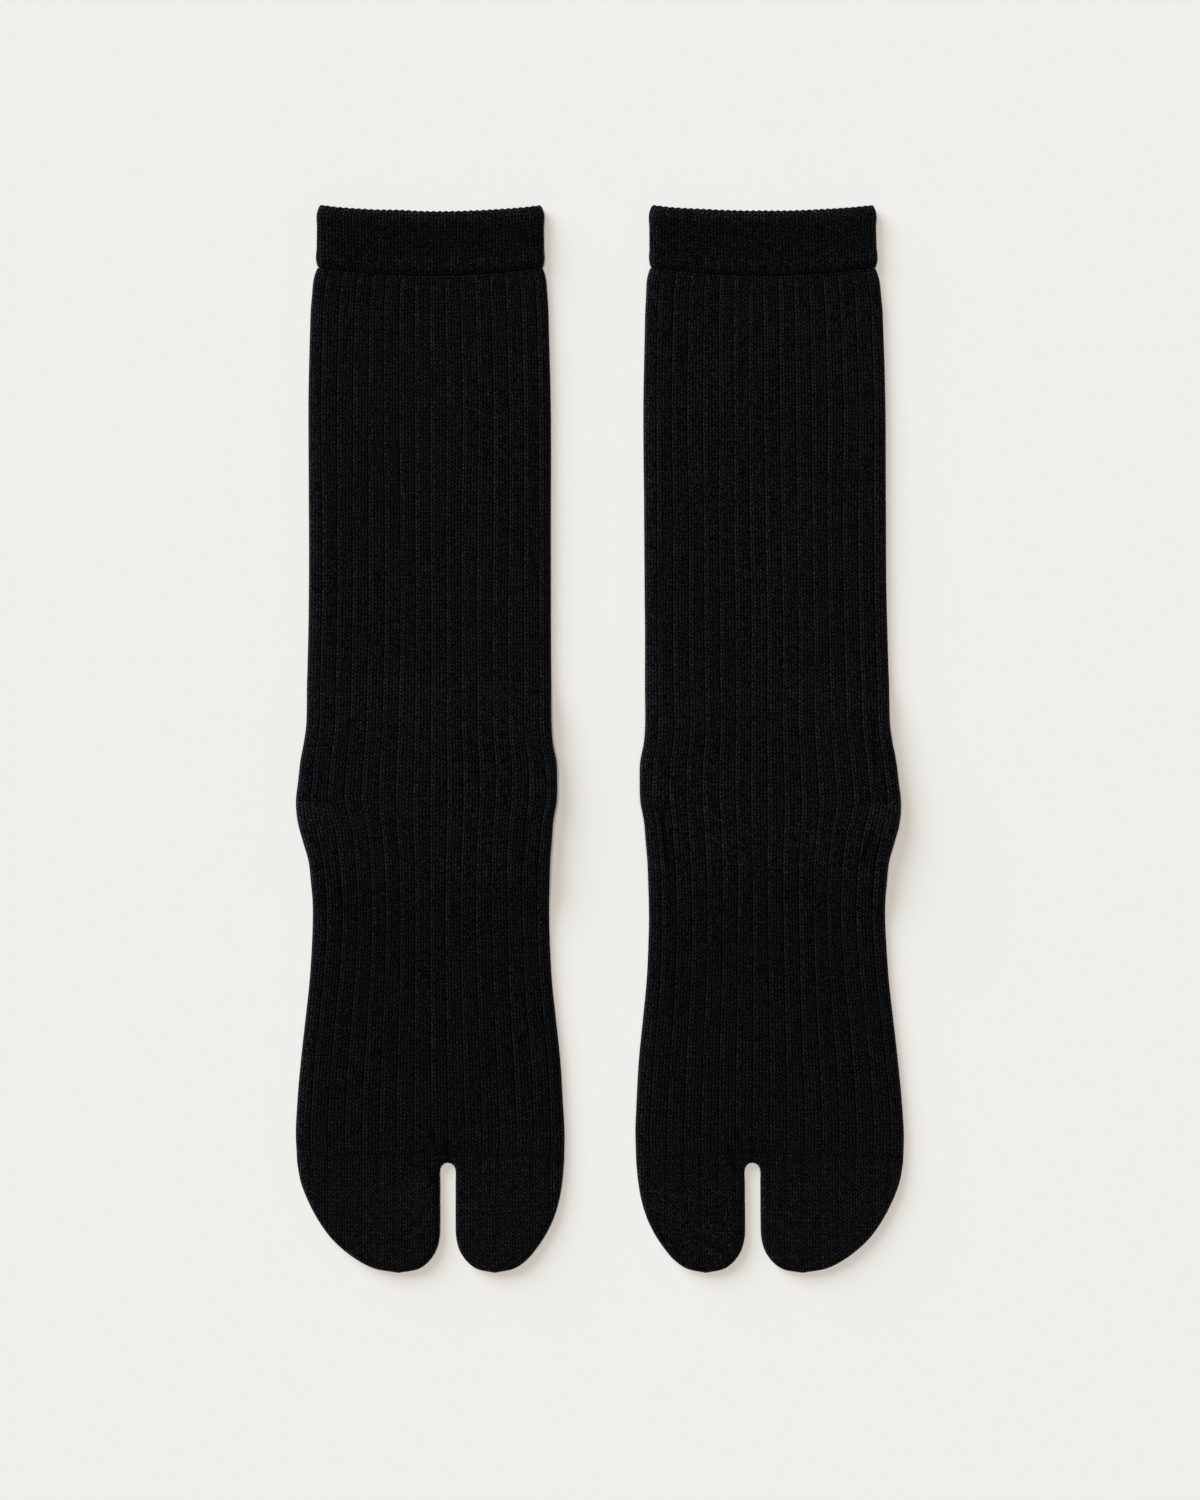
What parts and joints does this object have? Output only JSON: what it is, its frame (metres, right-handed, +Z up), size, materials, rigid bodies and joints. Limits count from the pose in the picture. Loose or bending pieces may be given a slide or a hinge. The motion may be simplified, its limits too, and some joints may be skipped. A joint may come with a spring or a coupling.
{
  "type": "pair of tabi socks",
  "caption": "Pair of black ribbed knit tabi socks lying flat side by side, each with a plain double cuff, a folded heel pocket and a split toe.",
  "frame": {"origin": "on the surface the socks lie on, under the middle of the pair's box", "axes": "+Z up, away from the surface and out of the insteps; +Y along the socks from the toes to the cuffs; +X from the right foot's sock to the left foot's"},
  "size_m": [0.243, 0.4262, 0.0077],
  "materials": {
    "rib_knit": "matt black cotton rib knit, slightly fuzzy",
    "cuff_knit": "matt black fine plain knit, folded double",
    "heel_knit": "matt black cotton plain knit"
  },
  "bodies": {
    "root": {"right_sock_body": "rib_knit", "right_sock_cuff": "cuff_knit", "right_sock_heel": "heel_knit", "left_sock_body": "rib_knit", "left_sock_cuff": "cuff_knit", "left_sock_heel": "heel_knit"}
  },
  "joints": []
}
